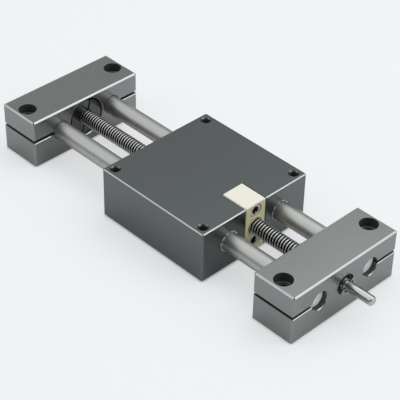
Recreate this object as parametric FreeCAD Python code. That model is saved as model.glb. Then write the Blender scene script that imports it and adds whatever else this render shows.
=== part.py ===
import FreeCAD, Part
import math
import os

from FreeCAD import Vector

# Linear positioning table. Millimetres. X runs along the guide shafts, towards the drive journal,
# and Z is up. The origin is midway between the end blocks, on the plane that they are bolted to.

# Travel and outside sizes
stroke = 100.0
end_gap = 2.0                # left between carriage and block at each end of the stroke
table_width = 85.0
block_length = 30.0
block_height = 33.0
carriage_length = 85.0
carriage_height = 34.0
carriage_lift = 0.5          # carriage underside above the mounting plane
carriage_rest = 12.4         # carriage centre along X in the modelled position

# Shafts and lead screw share one height
axis_height = 18.5
shaft_spacing = 42.0
shaft_diameter = 12.0
shaft_recess = 3.0           # shaft end below the block's outer face
screw_diameter = 10.0
journal_diameter = 6.0
journal_reach = 20.0         # drive journal beyond the block's outer face
idle_journal_recess = 0.6    # idle journal end below the block's outer face
running_gap = 0.05           # radial clearance of a running fit, and axial play

# Edge breaks
block_top_chamfer = 0.9
carriage_top_chamfer = 0.6
edge_chamfer = 0.5
bore_chamfer = 0.4
turned_chamfer = 0.6

# End block details
slit_height = 2.0
bolt_spacing = 70.0
bolt_hole = 6.6
bolt_head_bore = 11.4
bolt_head_depth = 6.5

# Split collar and the pocket that it turns in
collar_diameter = 24.0
collar_width = 9.0
collar_recess = 0.5          # collar face below the block's inner face
collar_split = 1.0
collar_tilt = 18.0           # lean of the split from upright, in degrees
pocket_diameter = 26.0
thrust_washer_diameter = 16.0
washer_thickness = 1.0

# Flanged plain bush, with the washer and clip that stop against it
bush_diameter = 8.0
bush_length = 12.0
flange_diameter = 12.0
flange_thickness = 1.0
flange_bore = 13.0
flange_bore_depth = 2.0
journal_washer_diameter = 10.0
washer_boss_diameter = 7.6
washer_boss_length = 1.2     # boss that holds the clip clear of the block
clip_diameter = 12.0
clip_thickness = 0.7
clip_groove = 5.0
clip_groove_slack = 0.05
clip_relief = 8.4            # diameter between the clip's prongs
clip_prong_angle = 15.0      # half the angle of the back prong
clip_relief_end = 84.0       # where the relief stops, from the middle of the back prong
clip_arm_end = 105.0         # where the arms stop at the open mouth
clip_turn = 35.0             # lean of the back prong from straight down, in degrees

# Carriage holes
carriage_hole_spacing = 74.0
carriage_hole = 5.0
carriage_hole_depth = 15.0
carriage_countersink = 6.6
screw_clearance_bore = 12.0

# Nut block and its socket cap screws
nut_width = 16.0
nut_length = 19.5
nut_gap = 0.4                # joint line at each side of the nut
nut_mouth_chamfer = 0.6      # lead-in of the thread at the nut's face
nut_screw_offset = 11.0      # from the lead screw's axis, up and down
cap_shank = 5.0
cap_head = 8.5
cap_head_height = 5.0
cap_head_bore = 9.5
cap_head_sink = 0.5          # top of the head below the nut's face
cap_socket = 4.0
cap_socket_depth = 2.6
cap_grip = 12.0              # shank in the carriage

# Plain-bearing liners, slotted in from both ends
liner_diameter = 14.0
liner_recess = 0.2           # liner end below the carriage's end face
liner_slots = 10
liner_slot_width = 1.0
liner_slot_length = 8.0
liner_slot_turn = 30.0       # first slot from upright, in degrees

# Places worked out from the driving sizes
inner_face = (carriage_length + stroke) / 2 + end_gap
outer_face = inner_face + block_length
half_width = table_width / 2
shaft_y = shaft_spacing / 2
bolt_x = (inner_face + outer_face) / 2
collar_inner = inner_face + collar_recess
collar_outer = collar_inner + collar_width
pocket_floor = collar_outer + running_gap + washer_thickness
flange_floor = outer_face - flange_bore_depth
flange_face = flange_floor + flange_thickness
clip_face = flange_face + running_gap + washer_thickness + washer_boss_length
carriage_bottom = carriage_lift
carriage_top = carriage_lift + carriage_height
carriage_front = carriage_rest + carriage_length / 2
carriage_back = carriage_rest - carriage_length / 2
nut_back = carriage_front - nut_length
along_x = Vector(1, 0, 0)
along_y = Vector(0, 1, 0)
along_z = Vector(0, 0, 1)


def prism(points, direction):
    face = Part.Face(Part.makePolygon(points + points[:1]))
    return face.extrude(direction)


def cut_corners(low_u, high_u, low_v, high_v, low_cut, high_cut):
    # Outline of a rectangle whose lower and upper corners are cut at 45 degrees
    return [
        (low_u + low_cut, low_v),
        (high_u - low_cut, low_v),
        (high_u, low_v + low_cut),
        (high_u, high_v - high_cut),
        (high_u - high_cut, high_v),
        (low_u + high_cut, high_v),
        (low_u, high_v - high_cut),
        (low_u, low_v + low_cut),
    ]


def chamfered_block(low, high, top_cut, edge_cut):
    # Three chamfered outlines, one from each side, meet in one block
    size = high - low
    front = cut_corners(low.x, high.x, low.z, high.z, edge_cut, top_cut)
    end = cut_corners(low.y, high.y, low.z, high.z, edge_cut, top_cut)
    plan = cut_corners(low.x, high.x, low.y, high.y, edge_cut, edge_cut)
    block = prism([Vector(x, low.y, z) for x, z in front], along_y * size.y)
    block = block.common(prism([Vector(low.x, y, z) for y, z in end], along_x * size.x))
    return block.common(prism([Vector(x, y, low.z) for x, y in plan], along_z * size.z))


def turned(profile, y=0.0):
    # Solid of revolution about a line along X, from points given as place along X and radius
    points = [Vector(x, y, axis_height + radius) for x, radius in profile]
    face = Part.Face(Part.makePolygon(points + points[:1]))
    return face.revolve(Vector(0, y, axis_height), along_x, 360)


def ring(start, end, outer, inner, rim=0.0, y=0.0):
    # Turned ring with diameters outer and inner, and its outer rims broken
    return turned([
        (start, inner / 2),
        (start, outer / 2 - rim),
        (start + rim, outer / 2),
        (end - rim, outer / 2),
        (end, outer / 2 - rim),
        (end, inner / 2),
    ], y)


def rod(start, end, diameter, y=0.0, z=axis_height):
    return Part.makeCylinder(diameter / 2, end - start, Vector(start, y, z), along_x)


def hole_down(x, y, top, depth, diameter, mouth=0.0):
    # Cutter for a round hole down from a flat top, countersunk by mouth in radius
    hole = Part.makeCylinder(diameter / 2, depth, Vector(x, y, top - depth), along_z)
    if mouth:
        cone = Part.makeCone(diameter / 2, diameter / 2 + mouth, mouth, Vector(x, y, top - mouth), along_z)
        hole = hole.fuse(cone)
    return hole


def hexagon(centre, direction, across_flats, depth):
    # Cutter for a hexagon socket that starts at centre and runs along direction
    corner = across_flats / math.sqrt(3)
    turn = FreeCAD.Rotation(along_z, direction)
    points = []
    for step in range(6):
        angle = math.radians(60 * step)
        points.append(centre + turn.multVec(Vector(corner * math.cos(angle), corner * math.sin(angle), 0)))
    return prism(points, direction * depth)


def end_block():
    # Drive end block
    low = Vector(inner_face, -half_width, 0)
    high = Vector(outer_face, half_width, block_height)
    block = chamfered_block(low, high, block_top_chamfer, edge_chamfer)
    cutters = [
        rod(inner_face, pocket_floor, pocket_diameter),
        rod(pocket_floor, flange_floor, bush_diameter),
        rod(flange_floor, outer_face, flange_bore),
    ]
    for side in (-1, 1):
        bolt_y = side * bolt_spacing / 2
        cutters.append(rod(inner_face, outer_face, shaft_diameter, side * shaft_y))
        cutters.append(clamp_slit(side))
        cutters.append(hole_down(bolt_x, bolt_y, block_height, block_height, bolt_hole))
        cutters.append(hole_down(bolt_x, bolt_y, block_height, bolt_head_depth, bolt_head_bore))
    for cutter in cutters:
        block = block.cut(cutter)
    return block


def clamp_slit(side):
    # Slit from one end of the block in to the shaft bore, with its long mouths broken
    low = axis_height - slit_height / 2
    high = axis_height + slit_height / 2
    outline = [
        (inner_face, low - bore_chamfer),
        (inner_face + bore_chamfer, low),
        (outer_face - bore_chamfer, low),
        (outer_face, low - bore_chamfer),
        (outer_face, high + bore_chamfer),
        (outer_face - bore_chamfer, high),
        (inner_face + bore_chamfer, high),
        (inner_face, high + bore_chamfer),
    ]
    points = [Vector(x, side * shaft_y, z) for x, z in outline]
    return prism(points, along_y * (side * (half_width - shaft_y)))


def guide_shaft(side):
    tip = outer_face - shaft_recess
    return ring(-tip, tip, shaft_diameter, 0.0, turned_chamfer, side * shaft_y)


def screw_bush():
    # Flanged plain bush, in the drive block
    inner = journal_diameter / 2 + running_gap
    start = flange_floor - bush_length
    return turned([
        (start, inner),
        (start, bush_diameter / 2),
        (flange_floor, bush_diameter / 2),
        (flange_floor, flange_diameter / 2),
        (flange_face, flange_diameter / 2),
        (flange_face, inner),
    ])


def thrust_washer():
    bore = journal_diameter + 2 * running_gap
    return ring(pocket_floor - washer_thickness, pocket_floor, thrust_washer_diameter, bore)


def lead_screw():
    # Crest diameter of the thread, stepped down to a journal at each end
    crest = screw_diameter / 2
    journal = journal_diameter / 2
    groove = clip_groove / 2
    groove_end = clip_face + clip_thickness + clip_groove_slack
    idle_tip = -outer_face + idle_journal_recess
    drive_tip = outer_face + journal_reach
    return turned([
        (idle_tip, 0),
        (idle_tip, journal),
        (-collar_outer, journal),
        (-collar_outer, crest),
        (collar_outer, crest),
        (collar_outer, journal),
        (clip_face, journal),
        (clip_face, groove),
        (groove_end, groove),
        (groove_end, journal),
        (drive_tip - turned_chamfer, journal),
        (drive_tip, journal - turned_chamfer),
        (drive_tip, 0),
    ])


def collar_half(side):
    # Half of the split collar in the drive block's pocket, turned to the split's lean
    whole = ring(collar_inner, collar_outer, collar_diameter, screw_diameter)
    near = side * collar_split / 2
    far = side * collar_diameter
    low = axis_height - collar_diameter
    high = axis_height + collar_diameter
    corners = [(near, low), (far, low), (far, high), (near, high)]
    half_space = prism([Vector(collar_inner, y, z) for y, z in corners], along_x * collar_width)
    half = whole.common(half_space)
    return half.rotated(Vector(0, 0, axis_height), along_x, -collar_tilt)


def journal_washer():
    # Washer against the bush flange, with a boss that the clip bears on
    start = flange_face + running_gap
    shoulder = start + washer_thickness
    bore = journal_diameter / 2
    return turned([
        (start, bore),
        (start, journal_washer_diameter / 2),
        (shoulder, journal_washer_diameter / 2),
        (shoulder, washer_boss_diameter / 2),
        (clip_face, washer_boss_diameter / 2),
        (clip_face, bore),
    ])


def clip_sector(first, last):
    # Wedge about the screw's axis between two angles, measured from straight down
    reach = clip_diameter
    points = [Vector(clip_face, 0, axis_height)]
    for angle in (first, (first + last) / 2, last):
        turn = math.radians(angle)
        points.append(Vector(clip_face, reach * math.sin(turn), axis_height - reach * math.cos(turn)))
    return prism(points, along_x * clip_thickness)


def retaining_clip():
    # E-clip in the journal's groove: a back prong, and an arm at each side that ends in a prong
    end = clip_face + clip_thickness
    clip = ring(clip_face, end, clip_diameter, clip_groove)
    relief = ring(clip_face, end, clip_relief, clip_groove)
    for side in (-1, 1):
        angles = sorted((side * clip_prong_angle, side * clip_relief_end))
        clip = clip.cut(relief.common(clip_sector(angles[0], angles[1])))
    clip = clip.cut(clip_sector(clip_arm_end, 360 - clip_arm_end))
    return clip.rotated(Vector(0, 0, axis_height), along_x, clip_turn)


def carriage_block():
    low = Vector(carriage_back, -half_width, carriage_bottom)
    high = Vector(carriage_front, half_width, carriage_top)
    block = chamfered_block(low, high, carriage_top_chamfer, edge_chamfer)
    slot_half = nut_width / 2 + nut_gap
    cutters = [
        Part.makeBox(
            carriage_front - nut_back, 2 * slot_half, carriage_height,
            Vector(nut_back, -slot_half, carriage_bottom)),
        rod(carriage_back, nut_back, screw_clearance_bore),
    ]
    for side in (-1, 1):
        cutters.append(rod(carriage_back, carriage_front, liner_diameter, side * shaft_y))
        z = axis_height + side * nut_screw_offset
        cutters.append(rod(nut_back - cap_grip, nut_back, cap_shank, 0.0, z))
        for end in (-1, 1):
            cutters.append(hole_down(
                carriage_rest + end * carriage_hole_spacing / 2, side * carriage_hole_spacing / 2,
                carriage_top, carriage_hole_depth, carriage_hole,
                (carriage_countersink - carriage_hole) / 2))
    for cutter in cutters:
        block = block.cut(cutter)
    return block


def lead_screw_nut():
    low = Vector(nut_back, -nut_width / 2, carriage_bottom)
    high = Vector(carriage_front, nut_width / 2, carriage_top)
    nut = chamfered_block(low, high, bore_chamfer, bore_chamfer)
    bore = screw_diameter + 2 * running_gap
    nut = nut.cut(rod(nut_back, carriage_front, bore))
    mouth = Part.makeCone(
        bore / 2, bore / 2 + nut_mouth_chamfer, nut_mouth_chamfer,
        Vector(carriage_front - nut_mouth_chamfer, 0, axis_height), along_x)
    nut = nut.cut(mouth)
    head_seat = carriage_front - cap_head_sink - cap_head_height
    for side in (-1, 1):
        z = axis_height + side * nut_screw_offset
        nut = nut.cut(rod(nut_back, head_seat, cap_shank, 0.0, z))
        nut = nut.cut(rod(head_seat, carriage_front, cap_head_bore, 0.0, z))
    return nut


def nut_screw(side):
    # Socket cap screw through the nut into the carriage
    z = axis_height + side * nut_screw_offset
    head_seat = carriage_front - cap_head_sink - cap_head_height
    head_top = head_seat + cap_head_height
    shank = rod(nut_back - cap_grip, head_seat, cap_shank, 0.0, z)
    head = rod(head_seat, head_top, cap_head, 0.0, z)
    socket = hexagon(Vector(head_top, 0, z), along_x * -1, cap_socket, cap_socket_depth)
    return shank.fuse(head).cut(socket)


def bearing_liner(side):
    # Thin sleeve that runs on the shaft, with a ring of slots in each end
    start = carriage_back + liner_recess
    end = carriage_front - liner_recess
    y = side * shaft_y
    liner = ring(start, end, liner_diameter, shaft_diameter + 2 * running_gap, y=y)
    for slot_start in (start, end - liner_slot_length):
        for step in range(liner_slots):
            slot = Part.makeBox(
                liner_slot_length, liner_slot_width, liner_diameter,
                Vector(slot_start, y - liner_slot_width / 2, axis_height))
            angle = liner_slot_turn + 360.0 * step / liner_slots
            slot.rotate(Vector(slot_start, y, axis_height), along_x, angle)
            liner = liner.cut(slot)
    return liner


def mirrored(shape):
    # The same piece at the idle end
    return shape.mirror(Vector(0, 0, 0), along_x)


def table_pieces():
    pieces = {"lead_screw": lead_screw()}
    pieces["journal_washer"] = journal_washer()
    pieces["retaining_clip"] = retaining_clip()
    paired = {
        "end_block": end_block(),
        "screw_bush": screw_bush(),
        "collar_left": collar_half(1),
        "collar_right": collar_half(-1),
    }
    for name, shape in paired.items():
        pieces[name + "_drive"] = shape
        pieces[name + "_idle"] = mirrored(shape)
    pieces["thrust_washers"] = Part.makeCompound([thrust_washer(), mirrored(thrust_washer())])
    pieces["carriage_block"] = carriage_block()
    pieces["lead_screw_nut"] = lead_screw_nut()
    pieces["nut_screw_upper"] = nut_screw(1)
    pieces["nut_screw_lower"] = nut_screw(-1)
    for hand, side in (("left", 1), ("right", -1)):
        pieces["guide_shaft_" + hand] = guide_shaft(side)
        pieces["shaft_liner_" + hand] = bearing_liner(side)
    return pieces


os.makedirs("parts", exist_ok=True)
for node, solid in table_pieces().items():
    solid.exportStep("parts/" + node + ".step")
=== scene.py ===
import math

import bmesh
import bpy
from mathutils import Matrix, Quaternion, Vector


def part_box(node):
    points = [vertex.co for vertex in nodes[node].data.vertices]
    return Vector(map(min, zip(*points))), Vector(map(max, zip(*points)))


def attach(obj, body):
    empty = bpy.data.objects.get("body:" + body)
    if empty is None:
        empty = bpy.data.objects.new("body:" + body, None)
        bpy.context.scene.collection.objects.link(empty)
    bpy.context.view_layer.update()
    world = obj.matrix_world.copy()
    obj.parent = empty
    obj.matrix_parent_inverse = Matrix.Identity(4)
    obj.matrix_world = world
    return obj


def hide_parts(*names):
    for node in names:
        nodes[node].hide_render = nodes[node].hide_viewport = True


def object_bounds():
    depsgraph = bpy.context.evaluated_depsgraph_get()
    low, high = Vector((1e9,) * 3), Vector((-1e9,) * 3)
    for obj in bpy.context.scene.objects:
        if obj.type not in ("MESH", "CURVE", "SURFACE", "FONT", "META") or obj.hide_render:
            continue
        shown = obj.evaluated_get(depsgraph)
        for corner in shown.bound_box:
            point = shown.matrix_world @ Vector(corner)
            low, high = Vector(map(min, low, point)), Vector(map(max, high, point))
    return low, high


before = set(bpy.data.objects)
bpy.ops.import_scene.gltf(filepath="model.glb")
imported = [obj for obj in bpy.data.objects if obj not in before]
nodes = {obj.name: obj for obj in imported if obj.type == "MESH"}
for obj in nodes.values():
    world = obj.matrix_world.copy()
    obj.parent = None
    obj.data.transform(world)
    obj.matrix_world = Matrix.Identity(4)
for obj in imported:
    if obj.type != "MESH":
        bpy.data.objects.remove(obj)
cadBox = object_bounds()
mm = 0.001
near = 0.01 * mm                                             # two places closer than this are the same
shaftLow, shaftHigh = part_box("guide_shaft_left")
shaftSpot = (shaftLow + shaftHigh) / 2                       # the lead screw's axis lies at the same height
shaftRadius = (shaftHigh.z - shaftLow.z) / 2
print("frame loaded,", len(nodes), "nodes")


# Wire is an output socket that takes sums, Board adds nodes to a tree, Finish is a material's board

class Wire:
    def __init__(self, board, socket):
        self.board = board
        self.socket = socket

    def out(self, name):
        return Wire(self.board, self.socket.node.outputs[name])

    def maths(self, operation, *others):
        return self.board.node("ShaderNodeMath", {"operation": operation}, (self,) + others)

    def __add__(self, other):
        return self.maths("ADD", other)

    def __sub__(self, other):
        return self.maths("SUBTRACT", other)

    def __rsub__(self, other):
        return self.board.node("ShaderNodeMath", {"operation": "SUBTRACT"}, (other, self))

    def __mul__(self, other):
        return self.maths("MULTIPLY", other)

    def __truediv__(self, other):
        return self.maths("DIVIDE", other)

    def __rtruediv__(self, other):
        return self.board.node("ShaderNodeMath", {"operation": "DIVIDE"}, (other, self))

    __radd__ = __add__
    __rmul__ = __mul__

    def between(self, low, high):
        return self.maths("MAXIMUM", low).maths("MINIMUM", high)


class Board:
    def __init__(self, tree):
        self.tree = tree

    def node(self, kind, settings=None, values=None, out=0):
        made = self.tree.nodes.new(kind)
        for key, value in (settings or {}).items():
            setattr(made, key, value)
        pairs = values.items() if isinstance(values, dict) else enumerate(values or ())
        for key, value in pairs:
            if isinstance(value, Wire):
                self.tree.links.new(value.socket, made.inputs[key])
            else:
                made.inputs[key].default_value = value
        return Wire(self, made.outputs[out]) if made.outputs else None


class Finish(Board):
    def __init__(self, name):
        self.material = bpy.data.materials.new(name)
        self.material.use_nodes = True
        super().__init__(self.material.node_tree)
        self.tree.nodes.clear()
        self.place = self.node("ShaderNodeTexCoord", out="Object")

    def noise(self, scale, detail=2.0, stretch=(1, 1, 1)):
        spread = [scale * share for share in stretch]       # cycles per metre along X, Y and Z
        mapped = self.node("ShaderNodeMapping", values={"Vector": self.place, "Scale": spread})
        return self.node("ShaderNodeTexNoise", values={"Vector": mapped, "Scale": 1.0, "Detail": detail})

    def blend(self, share, first, second):
        return self.node("ShaderNodeMix", {"data_type": "RGBA"}, {0: share, 6: first, 7: second}, out=2)

    def bump(self, height, depth):
        return self.node("ShaderNodeBump", values={"Strength": 1.0, "Distance": depth, "Height": height})

    def surface(self, sockets):
        shader = self.node("ShaderNodeBsdfPrincipled", values=sockets)
        self.node("ShaderNodeOutputMaterial", values={"Surface": shader})
        return self.material


def tinted(level, tint=(1, 1, 1)):
    return tuple(level * share for share in tint) + (1.0,)


# Finishes

# noise is in cycles per metre; sheen is how far it moves the roughness
blasted = {"dye": 40, "skin": 4200, "dyeShare": 0.7, "sheen": 0.12}
# metal is the share that mirrors; what is left is matt
blockAnodising = {
    "tone": 0.285, "drift": 0.014, "tint": (0.97, 1, 0.975),
    "roughness": 0.28, "metal": 0.88, "grain": 0.002 * mm}
carriageAnodising = {**blockAnodising, "tone": 0.16, "drift": 0.008, "tint": (0.91, 1, 0.98)}
# painted shade: the walls and floors of holes and slits are made dark with this finish
holeShadeAnodising = {
    "tone": 0.085, "drift": 0.012, "tint": (0.96, 1, 0.98),
    "roughness": 0.45, "metal": 0.2, "grain": 0.003 * mm}
# bare metal of chamfers cut after anodising; only chamfers that face up get it, so it is also a painted
# highlight for light from above
cutMetalHighlight = {
    "tone": 0.44, "drift": 0.02, "tint": (0.98, 1, 1),
    "roughness": 0.2, "metal": 1, "grain": 0.001 * mm}
# painted shade on hole rims and counterbore fillets: darker and glossier than the anodising, lighter than
# the painted shade deeper in the holes
rimShadeMetal = {
    "tone": 0.15, "drift": 0.015, "tint": (0.97, 1, 1),
    "roughness": 0.2, "metal": 1, "grain": 0.002 * mm}
sawnMetal = {
    "tone": 0.93, "drift": 0.03, "tint": (1, 1, 0.98),
    "roughness": 0.42, "metal": 0.2, "grain": 0.003 * mm}


def anodised(name, look):
    finish = Finish(name)
    cloud = finish.noise(blasted["dye"], 3)                  # slow drift of the dye, about 25 mm
    grain = finish.noise(blasted["skin"], 2)                 # blasted skin, about a quarter of a millimetre
    dark = tinted(look["tone"] - look["drift"], look["tint"])
    light = tinted(look["tone"] + look["drift"], look["tint"])
    mottle = (cloud * blasted["dyeShare"] + grain * (1 - blasted["dyeShare"])).between(0, 1)
    return finish.surface({
        "Base Color": finish.blend(mottle, dark, light),
        "Roughness": look["roughness"] + (grain - 0.5) * blasted["sheen"],
        "Metallic": look["metal"],
        "Normal": finish.bump(grain, look["grain"]),
    })


turned = {"marks": 5200, "stretch": (1, 0.02, 0.02), "cloud": 90, "cloudShare": 0.5, "sheen": 0.1}
shaftGrey = {"tone": 0.51, "drift": 0.016, "tint": (0.985, 1, 0.95), "roughness": 0.42, "rings": 0.001 * mm}
brightSteel = {"tone": 0.51, "drift": 0.035, "tint": (1, 1, 0.99), "roughness": 0.2, "rings": 0.001 * mm}
# blackened steel of the collars and the washer; in the cap screws' sockets it is painted shade
blackSteelAndShade = {"tone": 0.135, "drift": 0.014, "tint": (0.97, 0.98, 1), "roughness": 0.2, "rings": 0.001 * mm}
dullSteel = {**brightSteel, "tone": 0.3, "drift": 0.025}
# the lead screw's thread is darker in its grooves: the tint is full at rootRadius and gone at crestRadius
rootDarkThread = {
    **brightSteel, "rootTone": 0.03, "rootRadius": 4.3 * mm, "crestRadius": 4.8 * mm, "threadEnd": 104 * mm}


def turnedMetal(name, look):
    finish = Finish(name)
    rings = finish.noise(turned["marks"], 3, turned["stretch"])   # lathe or grinding marks round the X axis
    cloud = finish.noise(turned["cloud"], 2)
    dark = tinted(look["tone"] - look["drift"], look["tint"])
    light = tinted(look["tone"] + look["drift"], look["tint"])
    mottle = (cloud * turned["cloudShare"] + rings * (1 - turned["cloudShare"])).between(0, 1)
    colour = finish.blend(mottle, dark, light)
    if "rootTone" in look:
        spot = finish.node("ShaderNodeSeparateXYZ", values=(finish.place,))
        rise = spot.out("Z") - shaftSpot.z
        radius = (spot.out("Y") * spot.out("Y") + rise * rise).maths("SQRT")
        rootShare = ((look["crestRadius"] - radius) / (look["crestRadius"] - look["rootRadius"])).between(0, 1)
        threaded = spot.out("X").maths("ABSOLUTE").maths("LESS_THAN", look["threadEnd"])
        colour = finish.blend(rootShare * threaded, colour, tinted(look["rootTone"]))
    return finish.surface({
        "Base Color": colour,
        "Roughness": look["roughness"] + (rings - 0.5) * turned["sheen"],
        "Metallic": 1.0,
        "Normal": finish.bump(rings, look["rings"]),
    })


moulded = {"cloud": 150, "filler": 2600, "cloudShare": 0.6, "sheen": 0.15, "grain": 0.004 * mm}
# the nut's top is painted paler than its sides, a painted highlight for light from above, from topStart up
creamPlastic = {
    "dark": (0.92, 0.875, 0.52, 1), "light": (0.96, 0.915, 0.58, 1), "roughness": 0.5,
    "topStart": 34.0 * mm, "topDepth": 0.3 * mm, "top": (0.96, 0.935, 0.8, 1)}
# the liner's end is painted dark as shade, and a pale line at radius crest is a painted highlight where a
# rounded end would catch the light
linerShadeAndHighlight = {
    "dark": (0.05, 0.05, 0.048, 1), "light": (0.09, 0.09, 0.085, 1), "roughness": 0.45,
    "crest": 6.5 * mm, "crestHalf": 0.75 * mm, "crestColour": (0.92, 0.91, 0.86, 1)}
darkPlastic = {"dark": (0.035, 0.035, 0.036, 1), "light": (0.06, 0.06, 0.06, 1), "roughness": 0.5}


def dryPlastic(name, look):
    finish = Finish(name)
    cloud = finish.noise(moulded["cloud"], 3)
    specks = finish.noise(moulded["filler"], 1)
    mottle = (cloud * moulded["cloudShare"] + specks * (1 - moulded["cloudShare"])).between(0, 1)
    colour = finish.blend(mottle, look["dark"], look["light"])
    spot = finish.node("ShaderNodeSeparateXYZ", values=(finish.place,))
    # painted highlight: the nut's top is blended to a paler colour
    if "top" in look:
        litShare = ((spot.out("Z") - look["topStart"]) / look["topDepth"]).between(0, 1)
        colour = finish.blend(litShare, colour, look["top"])
    # painted highlight: a pale line at radius crest round each shaft, on painted shade
    if "crest" in look:
        across = spot.out("Y").maths("ABSOLUTE") - shaftSpot.y
        rise = spot.out("Z") - shaftSpot.z
        radius = (across * across + rise * rise).maths("SQRT")
        paintedLine = (1 - (radius - look["crest"]).maths("ABSOLUTE") / look["crestHalf"]).between(0, 1)
        colour = finish.blend(paintedLine, colour, look["crestColour"])
    return finish.surface({
        "Base Color": colour,
        "Roughness": look["roughness"] + (specks - 0.5) * moulded["sheen"],
        "Normal": finish.bump(specks, moulded["grain"]),
    })


blockFinish = anodised("blockAnodising", blockAnodising)
carriageFinish = anodised("carriageAnodising", carriageAnodising)
holeShadeFinish = anodised("holeShadeAnodising", holeShadeAnodising)
cutHighlightFinish = anodised("cutMetalHighlight", cutMetalHighlight)
rimShadeFinish = anodised("rimShadeMetal", rimShadeMetal)
sawnFinish = anodised("sawnMetal", sawnMetal)
shaftFinish = turnedMetal("shaftGrey", shaftGrey)
steelFinish = turnedMetal("brightSteel", brightSteel)
dullFinish = turnedMetal("dullSteel", dullSteel)
threadFinish = turnedMetal("rootDarkThread", rootDarkThread)
blackSteelAndShadeFinish = turnedMetal("blackSteelAndShade", blackSteelAndShade)
nutFinish = dryPlastic("creamPlastic", creamPlastic)
linerFinish = dryPlastic("linerShadeAndHighlight", linerShadeAndHighlight)
bushFinish = dryPlastic("darkPlastic", darkPlastic)
print("finishes ready")


# Mesh helpers

sharpTurn = math.radians(30)
flatTurn = math.radians(0.4)


def shade(shape):
    for face in shape.faces:
        face.smooth = True
    for edge in shape.edges:
        edge.smooth = edge.calc_face_angle(0.0) < sharpTurn


def addPiece(name, mesh, finishes, body, slot, *standsFor):
    piece = bpy.data.objects.new(name, mesh)
    bpy.context.scene.collection.objects.link(piece)
    for finish in finishes:
        if finish.name not in mesh.materials:
            mesh.materials.append(finish)
    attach(piece, body)
    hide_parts(*standsFor)
    return piece


def solidCopy(name, node):
    # the CAD solid with its triangles welded and its flat faces made whole
    source = nodes[node].data
    mesh = bpy.data.meshes.new(name)
    mesh.from_pydata([v.co for v in source.vertices], [], [p.vertices for p in source.polygons])
    shape = bmesh.new()
    shape.from_mesh(mesh)
    bmesh.ops.remove_doubles(shape, verts=shape.verts, dist=0.001 * mm)
    bmesh.ops.dissolve_limit(shape, angle_limit=flatTurn, verts=shape.verts, edges=shape.edges)
    return mesh, shape


def breakEdges(piece, width):
    bevel = piece.modifiers.new("edges", "BEVEL")
    bevel.width = width
    bevel.segments = 2
    bevel.limit_method = "ANGLE"
    bevel.angle_limit = sharpTurn
    bevel.loop_slide = False
    bevel.harden_normals = True


# End blocks and carriage: chamfers that face up are bright bare metal, cut after anodising, and partly a
# painted highlight; holes and slits get painted shade

# slope and level are limits of the upward part of a face's normal, for a chamfer and for a flat
milled = {
    "edge": 0.12 * mm, "corner": 0.8 * mm, "span": 0.7 * mm, "mouth": 0.45 * mm, "pocket": 13.0 * mm,
    "boltSpan": 35.0 * mm, "headBore": 5.7 * mm, "headDepth": 6.5 * mm, "headFillet": 0.25 * mm,
    "slope": (0.3, 0.9), "level": 0.99,
}


def rimEdges(shape, axis, level, centre, radius):
    # edges of the circle round centre that lies square to an axis at that level
    flat = [index for index in range(3) if index != axis]

    def onRim(vertex):
        reach = math.hypot(*(vertex.co[index] - centre[index] for index in flat))
        return abs(vertex.co[axis] - level) < near and abs(reach - radius) < 5 * near

    return [edge for edge in shape.edges if all(onRim(vertex) for vertex in edge.verts)]


def cutOff(shape, spot, way):
    # takes off what lies beyond a plane and closes the cut
    parts = shape.verts[:] + shape.edges[:] + shape.faces[:]
    cut = bmesh.ops.bisect_plane(
        shape, geom=parts, dist=0.0001 * mm, plane_co=spot, plane_no=way, clear_outer=True)["geom_cut"]
    rims = [part for part in cut if isinstance(part, bmesh.types.BMEdge)]
    bmesh.ops.holes_fill(shape, edges=rims, sides=0)


# an edge counts as one from this bend, in radians, and a run as straight from this cosine
strayRules = {"bend": 0.02, "straight": 0.99999}


def drawInStrays(shape):
    # a point that a cut leaves in the run of a straight edge goes to the nearer end of it
    shape.normal_update()
    for stray in shape.verts[:]:
        links = stray.link_edges if stray.is_valid else ()
        runs = [edge for edge in links if edge.calc_face_angle(0.0) > strayRules["bend"]]
        if len(runs) == 2:
            ends = [run.other_vert(stray) for run in runs]
            ends.sort(key=lambda end: (end.co - stray.co).length)
            ways = [(end.co - stray.co).normalized() for end in ends]
            if ways[0].dot(ways[1]) < -strayRules["straight"]:
                bmesh.ops.pointmerge(shape, verts=[stray, ends[0]], merge_co=ends[0].co)


def breakCorners(shape, low, high):
    # the upright corners are broken, and the top's chamfer runs on round them
    lip = max(vertex.co.z for vertex in shape.verts if high.x - vertex.co.x < near)
    for x, sideX in ((low.x, -1), (high.x, 1)):
        for y, sideY in ((low.y, -1), (high.y, 1)):
            spot = Vector((x - sideX * milled["corner"] / 2, y - sideY * milled["corner"] / 2, lip))
            cutOff(shape, spot, Vector((sideX, sideY, 0)))
            cutOff(shape, spot, Vector((sideX, sideY, math.sqrt(2))))
    drawInStrays(shape)
    bmesh.ops.recalc_face_normals(shape, faces=shape.faces)


def coatOf(face, low, high):
    # 0 is the anodised outside, 1 a bright cut chamfer facing up (bare metal and painted highlight), 2
    # painted shade in a hole or slit, 3 a hole's rim, painted shade lighter than in the hole
    centre = face.calc_center_median()
    inset = min(centre.x - low.x, high.x - centre.x, centre.y - low.y, high.y - centre.y)
    depth = high.z - centre.z
    lift = centre.z - low.z
    if milled["slope"][0] < face.normal.z < milled["slope"][1]:
        # a chamfer facing up near the outside gets the bright cut: painted highlight
        if inset < milled["span"]:
            return 1
        # the bolt counterbores' fillets and the rims at the top of holes get the rim's painted shade
        filleted = abs(depth - milled["headDepth"]) < milled["headFillet"]
        if depth < milled["span"] or filleted and abs(centre.y) > shaftHigh.y:
            return 3
    # faces inside holes and slits, away from the outside, get painted shade
    if abs(face.normal.z) > milled["level"]:
        return 0 if min(depth, lift) < near else 2
    return 0 if min(inset, depth, lift) < milled["span"] else 2


def chamfer(shape, edges, width):
    if edges:
        bmesh.ops.bevel(shape, geom=edges, offset=width, segments=1, profile=0.5, affect="EDGES")


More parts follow.
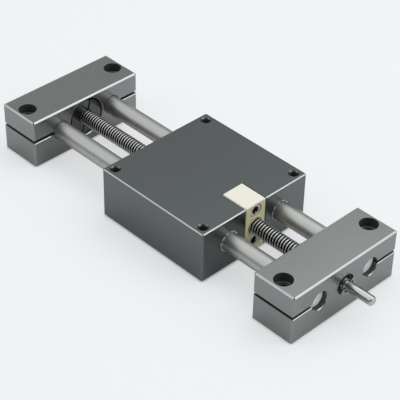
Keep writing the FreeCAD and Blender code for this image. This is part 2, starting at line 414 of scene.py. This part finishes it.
def milledBlock(name, node, finish, body, slot):
    mesh, shape = solidCopy(name, node)
    low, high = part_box(node)
    middle = (low + high) / 2
    for level in (low.x, high.x):
        rims = rimEdges(shape, 0, level, (0, 0, shaftSpot.z), milled["pocket"])
        for side in (-1, 1):
            rims += rimEdges(shape, 0, level, (0, side * shaftSpot.y, shaftSpot.z), shaftRadius)
        chamfer(shape, rims, milled["mouth"])
    fillets = []
    for side in (-1, 1):
        spot = (middle.x, side * milled["boltSpan"], 0)
        fillets += rimEdges(shape, 2, high.z - milled["headDepth"], spot, milled["headBore"])
    chamfer(shape, fillets, milled["headFillet"])
    breakCorners(shape, low, high)
    shape.normal_update()
    shade(shape)
    for face in shape.faces:
        face.material_index = coatOf(face, low, high)
    shape.to_mesh(mesh)
    shape.free()
    piece = addPiece(name, mesh, (finish, cutHighlightFinish, holeShadeFinish, rimShadeFinish), body, slot, node)
    breakEdges(piece, milled["edge"])


milledBlock("driveBlock", "end_block_drive", blockFinish, "frame", "anodised_block")
milledBlock("idleBlock", "end_block_idle", blockFinish, "frame", "anodised_block")
milledBlock("carriagePlate", "carriage_block", carriageFinish, "carriage", "anodised_carriage")
print("blocks and carriage ready")


# Turned and moulded pieces that keep the CAD shape and get their edges broken

plainPieces = [
    ("leftShaft", "guide_shaft_left", shaftFinish, "frame", "hard_anodised_shaft", 0.15 * mm),
    ("rightShaft", "guide_shaft_right", shaftFinish, "frame", "hard_anodised_shaft", 0.15 * mm),
    ("driveBush", "screw_bush_drive", bushFinish, "frame", "bush_plastic", 0.1 * mm),
    ("idleBush", "screw_bush_idle", bushFinish, "frame", "bush_plastic", 0.1 * mm),
    ("journalWasher", "journal_washer", blackSteelAndShadeFinish, "screw", "blackened_steel", 0.1 * mm),
    ("journalClip", "retaining_clip", dullFinish, "screw", "bright_steel", 0.08 * mm),
    ("driveCollarLeft", "collar_left_drive", blackSteelAndShadeFinish, "screw", "blackened_steel", 0.3 * mm),
    ("driveCollarRight", "collar_right_drive", blackSteelAndShadeFinish, "screw", "blackened_steel", 0.3 * mm),
    ("idleCollarLeft", "collar_left_idle", blackSteelAndShadeFinish, "screw", "blackened_steel", 0.3 * mm),
    ("idleCollarRight", "collar_right_idle", blackSteelAndShadeFinish, "screw", "blackened_steel", 0.3 * mm),
    ("creamNut", "lead_screw_nut", nutFinish, "carriage", "nut_plastic", 0.12 * mm),
    ("leftLiner", "shaft_liner_left", linerFinish, "carriage", "liner_plastic", 0.1 * mm),
    ("rightLiner", "shaft_liner_right", linerFinish, "carriage", "liner_plastic", 0.1 * mm),
]

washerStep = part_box("retaining_clip")[0].x - 1.1 * mm       # the washer's boss lies beyond this place


def sawnEnd(face):
    return abs(face.normal.x) > 0.5


def onBoss(face):
    return face.calc_center_median().x > washerStep


secondFinish = {
    "leftShaft": (sawnFinish, sawnEnd),
    "rightShaft": (sawnFinish, sawnEnd),
    "journalWasher": (steelFinish, onBoss),
}

for name, node, finish, body, slot, edge in plainPieces:
    mesh, shape = solidCopy(name, node)
    shade(shape)
    finishes = [finish]
    if name in secondFinish:
        other, chosen = secondFinish[name]
        finishes.append(other)
        for face in shape.faces:
            face.material_index = int(chosen(face))
    shape.to_mesh(mesh)
    shape.free()
    breakEdges(addPiece(name, mesh, finishes, body, slot, node), edge)

nodes["thrust_washers"].data.materials.clear()
nodes["thrust_washers"].data.materials.append(bushFinish)
print("plain pieces ready")


# Helical thread by Geometry Nodes: a grid wound round X, with its seams merged

def threadTree():
    tree = bpy.data.node_groups.new("helicalThread", "GeometryNodeTree")
    inputs = {}
    for name in ("Turns", "Segments"):
        inputs[name] = tree.interface.new_socket(name, in_out="INPUT", socket_type="NodeSocketInt")
    for name in ("Start", "End", "Height", "Pitch", "Crest", "Depth", "Run Out", "Rounding", "Widening"):
        inputs[name] = tree.interface.new_socket(name, in_out="INPUT", socket_type="NodeSocketFloat")
    inputs["Finish"] = tree.interface.new_socket("Finish", in_out="INPUT", socket_type="NodeSocketMaterial")
    tree.interface.new_socket("Geometry", in_out="OUTPUT", socket_type="NodeSocketGeometry")

    board = Board(tree)
    given = board.node("NodeGroupInput")
    start, end, pitch = given.out("Start"), given.out("End"), given.out("Pitch")
    columns = given.out("Turns") * 12 + 1                    # twelve points to a turn
    grid = board.node("GeometryNodeMeshGrid", values={
        "Size X": 1.0, "Size Y": 1.0, "Vertices X": columns, "Vertices Y": given.out("Segments") + 1})
    spot = board.node("ShaderNodeSeparateXYZ", values=(board.node("GeometryNodeInputPosition"),))
    turn = (spot.out("X") + 0.5) * given.out("Turns")
    share = spot.out("Y") + 0.5                              # share of a full turn round the axis
    spread = (turn * math.tau).maths("SINE") * given.out("Widening")   # draws the points apart on the crests
    along = start + (turn + spread + share - 1) * pitch
    beside = turn.maths("PINGPONG", 0.5) * 6                 # 0 amid a crest, 1 at its edge, 3 in a root
    crown = beside.between(0, 1)
    drop = crown * crown * given.out("Rounding") + (beside - 1).between(0, 1) * (1 - given.out("Rounding"))
    ending = (along - start).maths("MINIMUM", end - along)
    fade = (ending / given.out("Run Out")).between(0, 1)
    root = given.out("Crest") - given.out("Depth")
    radius = root + given.out("Depth") * (1 - drop) * fade
    angle = share * math.tau
    wound = board.node("ShaderNodeCombineXYZ", values=(
        along.between(start, end),
        radius * angle.maths("COSINE"),
        radius * angle.maths("SINE") + given.out("Height")))
    moved = board.node("GeometryNodeSetPosition", values={"Geometry": grid, "Position": wound})
    merged = board.node("GeometryNodeMergeByDistance", values={"Geometry": moved, "Distance": 0.005 * mm})
    real = board.node("GeometryNodeRealizeInstances", values=(merged,))
    painted = board.node("GeometryNodeSetMaterial", values={
        "Geometry": real, "Material": given.out("Finish")})
    board.node("NodeGroupOutput", values=(painted,))
    return tree, inputs


thread, threadInputs = threadTree()


def windThread(name, sizes, finish):
    # one thread as a plain mesh, open at both ends
    holder = bpy.data.objects.new(name, bpy.data.meshes.new(name))
    bpy.context.scene.collection.objects.link(holder)
    modifier = holder.modifiers.new("thread", "NODES")
    modifier.node_group = thread
    turns = round((sizes["End"] - sizes["Start"]) / sizes["Pitch"]) + 2
    for key, value in {**sizes, "Turns": turns, "Finish": finish}.items():
        modifier[threadInputs[key].identifier] = value
    bpy.context.view_layer.update()
    wound = holder.evaluated_get(bpy.context.evaluated_depsgraph_get())
    mesh = bpy.data.meshes.new_from_object(wound)
    bpy.data.objects.remove(holder)
    mesh.name = name
    return mesh


def turnOn(shape, side, rings, height):
    # lathe-like steps from the thread's open end: place along X, and radius or a function of the angle
    rim = [edge for edge in shape.edges if edge.is_boundary]
    middle = sum(edge.verts[0].co.x for edge in rim) / len(rim)
    rim = [edge for edge in rim if (edge.verts[0].co.x - middle) * side > 0]
    for x, radius in rings:
        made = bmesh.ops.extrude_edge_only(shape, edges=rim)["geom"]
        for vertex in (item for item in made if isinstance(item, bmesh.types.BMVert)):
            angle = math.atan2(vertex.co.z - height, vertex.co.y)
            reach = radius(angle) if callable(radius) else radius
            vertex.co = (x, reach * math.cos(angle), height + reach * math.sin(angle))
        rim = [item for item in made if isinstance(item, bmesh.types.BMEdge) and item.is_boundary]
    bmesh.ops.contextual_create(shape, geom=rim)


def threadedPiece(name, sizes, startRings, endRings, finishes, body, slot, node, second=None):
    mesh = windThread(name, sizes, finishes[0])
    shape = bmesh.new()
    shape.from_mesh(mesh)
    turnOn(shape, 1, endRings, sizes["Height"])
    turnOn(shape, -1, startRings, sizes["Height"])
    bmesh.ops.recalc_face_normals(shape, faces=shape.faces)
    shade(shape)
    if second:
        for face in shape.faces:
            face.material_index = int(second(face))
    shape.to_mesh(mesh)
    shape.free()
    addPiece(name, mesh, finishes, body, slot, node)


# Lead screw: trapezoidal thread with a plain journal at each end

leadScrew = {
    "pitch": 2.0 * mm, "depth": 1.25 * mm, "rounding": 0.1, "widening": 0.06, "segments": 56,
    "runOut": 1.5 * mm, "journal": 3.0 * mm, "groove": 2.5 * mm, "tipChamfer": 0.6 * mm, "tipRing": 0.3,
    "rimStep": 0.12 * mm,
}
screwLow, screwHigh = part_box("lead_screw")
clipLow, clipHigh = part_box("retaining_clip")
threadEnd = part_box("collar_left_drive")[1].x
axisHeight = (screwLow.z + screwHigh.z) / 2
crest = (screwHigh.z - screwLow.z) / 2
journal = leadScrew["journal"]
tipRadius = journal - leadScrew["tipChamfer"]
step = leadScrew["rimStep"]

threadedPiece(
    "leadScrew",
    {
        "Start": -threadEnd, "End": threadEnd, "Height": axisHeight, "Pitch": leadScrew["pitch"],
        "Crest": crest, "Depth": leadScrew["depth"], "Run Out": leadScrew["runOut"],
        "Segments": leadScrew["segments"], "Rounding": leadScrew["rounding"],
        "Widening": leadScrew["widening"],
    },
    [
        (-threadEnd, journal),
        (screwLow.x + step, journal),
        (screwLow.x, journal - step),
    ],
    [
        (threadEnd, journal),
        (clipLow.x - step, journal),
        (clipLow.x, journal - step),
        (clipLow.x, leadScrew["groove"]),
        (clipHigh.x + step, leadScrew["groove"]),
        (clipHigh.x + step, journal - step),
        (clipHigh.x + 2 * step, journal),
        (screwHigh.x - leadScrew["tipChamfer"], journal),
        (screwHigh.x, tipRadius),
        (screwHigh.x, tipRadius * leadScrew["tipRing"]),
    ],
    (threadFinish,), "screw", "bright_steel", "lead_screw")


# Socket cap screws that hold the nut

# roundMiddle is the middle of the head's round, in shares of headRound from the front and from the side
capScrew = {
    "pitch": 0.8 * mm, "depth": 0.45 * mm, "rounding": 0.1, "widening": 0.0, "segments": 48,
    "shank": 2.45 * mm, "plain": 2.0 * mm, "tip": 0.4 * mm, "knurl": 0.14 * mm, "teeth": 24,
    "headHeight": 5.0 * mm, "headRound": 0.5 * mm, "roundMiddle": (0.3, 0.35), "socket": 4.0 * mm,
    "socketDepth": 2.6 * mm, "lead": 0.45 * mm, "drillPoint": 0.6,
}


def hexagonAt(acrossFlats):
    sector = math.pi / 3

    def radius(angle):
        return acrossFlats / 2 / math.cos((angle % sector) - sector / 2)

    return radius


def knurled(outer):
    def radius(angle):
        return outer - capScrew["knurl"] * (0.5 - 0.5 * math.cos(angle * capScrew["teeth"]))

    return radius


for name, node in (("upperNutScrew", "nut_screw_upper"), ("lowerNutScrew", "nut_screw_lower")):
    low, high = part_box(node)
    head = (high.z - low.z) / 2
    seat = high.x - capScrew["headHeight"]
    socketMouth = capScrew["socket"] / math.sqrt(3) + capScrew["lead"]
    rounding = capScrew["headRound"]
    front, flank = (rounding * share for share in capScrew["roundMiddle"])
    middle = (low.z + high.z) / 2

    # the socket and its lead get the black finish: painted shade in the recess
    def inSocket(face):
        spot = face.calc_center_median()
        within = math.hypot(spot.y, spot.z - middle) < socketMouth
        return within and seat < spot.x < high.x - near

    threadedPiece(
        name,
        {
            "Start": low.x + capScrew["tip"], "End": seat - capScrew["plain"], "Height": middle,
            "Pitch": capScrew["pitch"], "Crest": capScrew["shank"], "Depth": capScrew["depth"],
            "Run Out": capScrew["pitch"], "Segments": capScrew["segments"], "Rounding": capScrew["rounding"],
            "Widening": capScrew["widening"],
        },
        [(low.x, capScrew["shank"] - 2 * capScrew["depth"])],
        [
            (seat - capScrew["plain"] + capScrew["depth"], capScrew["shank"]),
            (seat, capScrew["shank"]),
            (seat, head - capScrew["knurl"]),
            (seat + capScrew["knurl"], knurled(head)),
            (high.x - 2 * rounding, knurled(head)),
            (high.x - rounding, head - capScrew["knurl"]),
            (high.x - front, head - flank - capScrew["knurl"]),
            (high.x, head - rounding - capScrew["knurl"]),
            (high.x, socketMouth),
            (high.x - capScrew["lead"], hexagonAt(capScrew["socket"])),
            (high.x - capScrew["socketDepth"], hexagonAt(capScrew["socket"])),
            (high.x - capScrew["socketDepth"] - capScrew["lead"],
             hexagonAt(capScrew["drillPoint"] * capScrew["socket"])),
        ],
        (dullFinish, blackSteelAndShadeFinish), "carriage", "bright_steel", node, inSocket)

print("threaded pieces ready")


# Floor, lamps and camera

# the floor gives off part of its paleness itself to the camera, so that shadows stay soft, and less of it to
# metal; in gaps narrower than gap the glow fades, so that shadows are deep right under the object
floorLook = {"colour": (0.935, 0.94, 0.95, 1), "half": 4.0, "glow": 0.6, "mirrored": 0.05, "gap": 2.0 * mm}
shape = bmesh.new()
bmesh.ops.create_grid(shape, x_segments=1, y_segments=1, size=floorLook["half"])
bmesh.ops.translate(shape, verts=shape.verts, vec=(0, 0, cadBox[0].z))
floorMesh = bpy.data.meshes.new("floor")
shape.to_mesh(floorMesh)
shape.free()
floorFinish = Finish("paleFloor")
ray = floorFinish.node("ShaderNodeLightPath")
mirrored = ray.out("Is Glossy Ray").maths("MAXIMUM", ray.out("Is Transmission Ray")) * floorLook["mirrored"]
matt = floorFinish.node("ShaderNodeBsdfDiffuse", values={"Color": floorLook["colour"]})
glow = floorFinish.node("ShaderNodeEmission", values={"Color": floorLook["colour"], "Strength": 1.0})
clear = floorFinish.node("ShaderNodeAmbientOcclusion", values={"Distance": floorLook["gap"]}).out("AO")
share = (ray.out("Is Camera Ray") * floorLook["glow"] * clear).maths("MAXIMUM", mirrored)
mixed = floorFinish.node("ShaderNodeMixShader", values=(share, matt, glow))
floorFinish.node("ShaderNodeOutputMaterial", values={"Surface": mixed})
floorMesh.materials.append(floorFinish.material)
floor = bpy.data.objects.new("floor", floorMesh)
bpy.context.scene.collection.objects.link(floor)

# a lamp's glow is its brightness beside a white surface; its direction is from the object
# the room is dark at the horizon and on the side where the photographer stands, and bright overhead
studio = {
    "tint": (0.865, 0.88, 0.905, 1), "wall": 0.5, "wallLow": 0.1, "wallHigh": 0.4,
    "overhead": 1.48, "capLow": 0.55, "capHigh": 0.92,
    "darkSide": {"from": (0.56, -0.555, 0.615), "outer": 0.6, "inner": 0.95, "shade": 0.62},
    "lamps": {
        "leftBox": {"from": (-0.55, -0.625, 0.554), "distance": 1.3, "size": 0.7, "glow": 0.75},
        "rightBox": {"from": (0.6, 0.5, 0.62), "distance": 1.3, "size": 0.8, "glow": 1.25},
        "endBox": {"from": (0.9, 0.2, 0.4), "distance": 1.3, "size": 0.8, "glow": 0.5},
        "backBox": {"from": (-0.1, 0.5, 0.86), "distance": 1.3, "size": 0.8, "glow": 0.75},
    },
}

world = bpy.data.worlds.new("studioSky")
world.use_nodes = True
world.node_tree.nodes.clear()
sky = Board(world.node_tree)
heading = sky.node("ShaderNodeTexCoord", out="Generated")
rise = sky.node("ShaderNodeSeparateXYZ", values=(heading,)).out("Z")
climb = ((rise - studio["wallLow"]) / (studio["wallHigh"] - studio["wallLow"])).between(0, 1)
cap = ((rise - studio["capLow"]) / (studio["capHigh"] - studio["capLow"])).between(0, 1)
side = studio["darkSide"]
facing = sky.node("ShaderNodeVectorMath", {"operation": "DOT_PRODUCT"}, (heading, side["from"]), out="Value")
dark = ((facing - side["outer"]) / (side["inner"] - side["outer"])).between(0, 1) * side["shade"]
strength = (climb * studio["wall"] + cap * (studio["overhead"] - studio["wall"])) * (1 - dark)
background = sky.node("ShaderNodeBackground", values={"Color": studio["tint"], "Strength": strength})
sky.node("ShaderNodeOutputWorld", values={"Surface": background})
bpy.context.scene.world = world

for name, lamp in studio["lamps"].items():
    light = bpy.data.lights.new(name, "AREA")
    light.shape = "SQUARE"
    light.size = lamp["size"]
    light.energy = math.pi * lamp["size"] ** 2 * lamp["glow"]
    holder = bpy.data.objects.new(name, light)
    bpy.context.scene.collection.objects.link(holder)
    direction = Vector(lamp["from"]).normalized()
    holder.location = direction * lamp["distance"]
    holder.rotation_mode = "QUATERNION"
    holder.rotation_quaternion = (-direction).to_track_quat("-Z", "Y")

# the camera is fitted to the corners and holes of the blocks and the carriage
photoView = {
    "place": Vector((495.95, -482.59, 546.05)) * mm,
    "azimuth": 45.249, "elevation": 37.974, "roll": 1.26, "lens": 130.778, "sensor": 36.0,
}
azimuth = math.radians(photoView["azimuth"])
elevation = math.radians(photoView["elevation"])
back = Vector((
    math.sin(azimuth) * math.cos(elevation), -math.cos(azimuth) * math.cos(elevation), math.sin(elevation)))
lens = bpy.data.cameras.new("photoCamera")
lens.lens = photoView["lens"]
lens.sensor_width = photoView["sensor"]
camera = bpy.data.objects.new("photoCamera", lens)
bpy.context.scene.collection.objects.link(camera)
camera.location = photoView["place"]
camera.rotation_mode = "QUATERNION"
roll = Quaternion((0, 0, 1), math.radians(photoView["roll"]))
camera.rotation_quaternion = (-back).to_track_quat("-Z", "Y") @ roll
bpy.context.scene.camera = camera
bpy.context.scene.view_settings.view_transform = "Standard"
print("studio ready")
